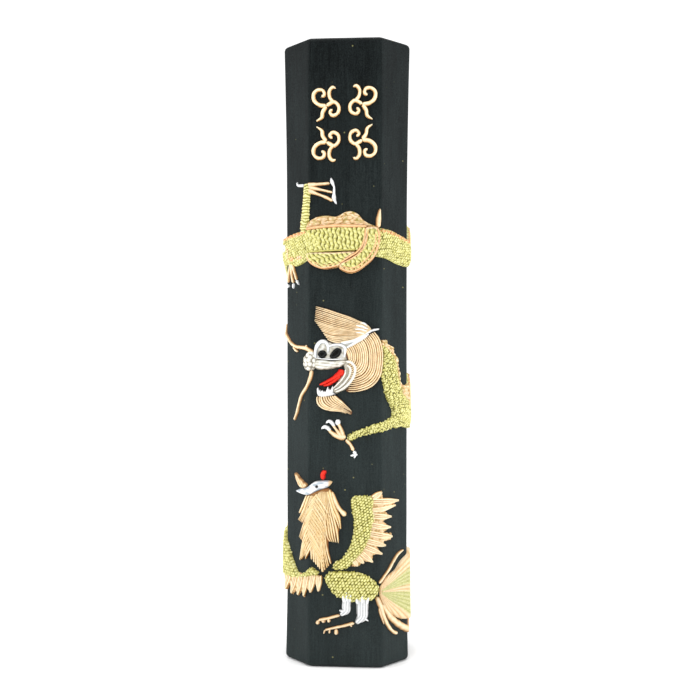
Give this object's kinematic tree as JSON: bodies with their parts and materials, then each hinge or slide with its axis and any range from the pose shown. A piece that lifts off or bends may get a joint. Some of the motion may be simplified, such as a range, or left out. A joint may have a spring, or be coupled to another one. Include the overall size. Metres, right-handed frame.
{
  "type": "ink stick",
  "caption": "Octagonal stick of moulded calligraphy ink that stands on its flat end, with cloud emblems, a dragon and a phoenix raised and painted on its faces.",
  "frame": {"origin": "centre of the flat bottom end, on the surface that the stick stands on", "axes": "+Z along the stick towards its top end; the front face, with the emblems and the dragon's head, looks along -Y; +X to the viewer's right"},
  "size_m": [0.0318, 0.0264, 0.15],
  "materials": {
    "ink": "matte, dry, with fine streaks along the stick",
    "gold_green": "satin green-gold paint",
    "peach_gold": "satin peach-gold paint",
    "pearl_white": "satin silvery white paint",
    "vermilion": "glossy red paint",
    "eye_black": "glossy black paint"
  },
  "bodies": {
    "root": {"dragon_back_foot": "peach_gold", "dragon_back_leg": "gold_green", "dragon_beard": "peach_gold", "dragon_cheek": "pearl_white", "dragon_coil": "gold_green", "dragon_coil_belly": "gold_green", "dragon_coil_fin": "peach_gold", "dragon_crest": "peach_gold", "dragon_forefoot": "peach_gold", "dragon_foreleg": "gold_green", "dragon_hind_claws": "pearl_white", "dragon_hind_leg": "gold_green", "dragon_hind_rear_toe": "pearl_white", "dragon_hind_toes": "peach_gold", "dragon_horn": "pearl_white", "dragon_left_eye": "eye_black", "dragon_left_foot": "peach_gold", "dragon_loop": "gold_green", "dragon_lower_jaw": "pearl_white", "dragon_lower_whisker": "peach_gold", "dragon_mane": "peach_gold", "dragon_muzzle": "pearl_white", "dragon_neck": "gold_green", "dragon_neck_fin": "peach_gold", "dragon_nose": "pearl_white", "dragon_right_eye": "eye_black", "dragon_skull": "pearl_white", "dragon_tail": "gold_green", "dragon_tail_fin": "peach_gold", "dragon_tail_spike": "peach_gold", "dragon_tail_tuft": "peach_gold", "dragon_tongue": "vermilion", "dragon_trunk": "gold_green", "dragon_trunk_fin": "peach_gold", "dragon_upper_whisker": "peach_gold", "emblem_cloud_lower_left": "peach_gold", "emblem_cloud_lower_right": "peach_gold", "emblem_cloud_upper_left": "peach_gold", "emblem_cloud_upper_right": "peach_gold", "ink_body": "ink", "phoenix_body": "gold_green", "phoenix_comb": "vermilion", "phoenix_head": "pearl_white", "phoenix_inner_streamer": "peach_gold", "phoenix_left_foot": "peach_gold", "phoenix_left_leg": "pearl_white", "phoenix_left_wing": "gold_green", "phoenix_left_wing_feathers": "peach_gold", "phoenix_neck_feathers": "peach_gold", "phoenix_outer_streamer": "peach_gold", "phoenix_right_foot": "peach_gold", "phoenix_right_leg": "pearl_white", "phoenix_right_wing": "gold_green", "phoenix_right_wing_feathers": "peach_gold", "phoenix_side_plume": "peach_gold", "phoenix_tail_leaf": "gold_green", "phoenix_tail_plume": "peach_gold", "phoenix_upper_beak": "peach_gold"}
  },
  "joints": []
}
